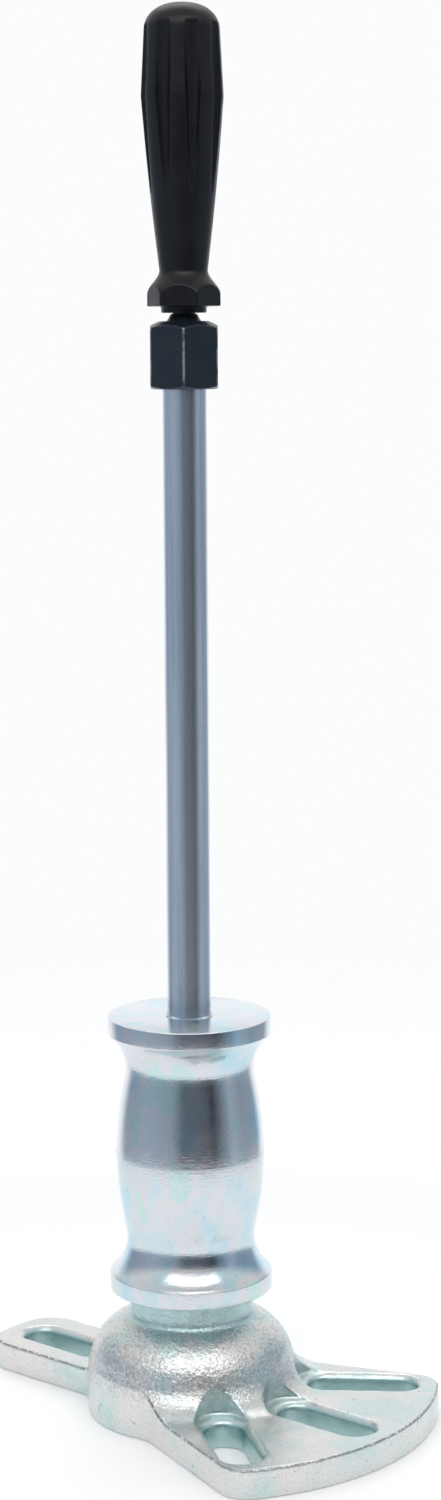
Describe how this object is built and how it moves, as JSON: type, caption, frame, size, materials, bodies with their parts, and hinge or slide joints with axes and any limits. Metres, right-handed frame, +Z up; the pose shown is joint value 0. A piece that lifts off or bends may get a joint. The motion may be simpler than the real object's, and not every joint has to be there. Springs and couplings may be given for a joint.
{
  "type": "slide hammer hub puller",
  "caption": "Slide hammer puller: slotted forged flange bolts to a wheel hub, a waisted hammer slides on the rod up to a high hex nut, fluted grip on top.",
  "frame": {"origin": "on the rod's axis, in the plane of the flange's underside", "axes": "+Z up along the rod, +X to the middle of the flange's fan (the single arm points to -X), +Y across the fan"},
  "size_m": [0.184, 0.1154, 0.5124],
  "materials": {
    "forged_zinc": "zinc plated drop forging, grainy matte",
    "turned_zinc": "zinc plated turned steel, bright with faint blue and pink tints",
    "rod_zinc": "zinc plated drawn bar, satin with long streaks",
    "hidden_steel": "zinc plated fasteners under the dome",
    "black_oxide": "blackened steel, satin",
    "black_plastic": "moulded black plastic, semi-matte",
    "brass": "plain brass, hidden in the grip"
  },
  "bodies": {
    "puller_body": {"puller_flange": "forged_zinc", "slide_rod": "rod_zinc", "base_washer": "hidden_steel", "base_lock_nut": "hidden_steel", "stop_nut": "black_oxide", "handle_stud": "black_oxide", "handle_insert": "brass", "handle_grip": "black_plastic"},
    "hammer": {"slide_hammer": "turned_zinc"}
  },
  "joints": [
    {"name": "hammer_slide", "type": "slide", "parent": "puller_body", "child": "hammer", "axis": [0, 0, 1], "range_m": [0, 0.2278]}
  ]
}
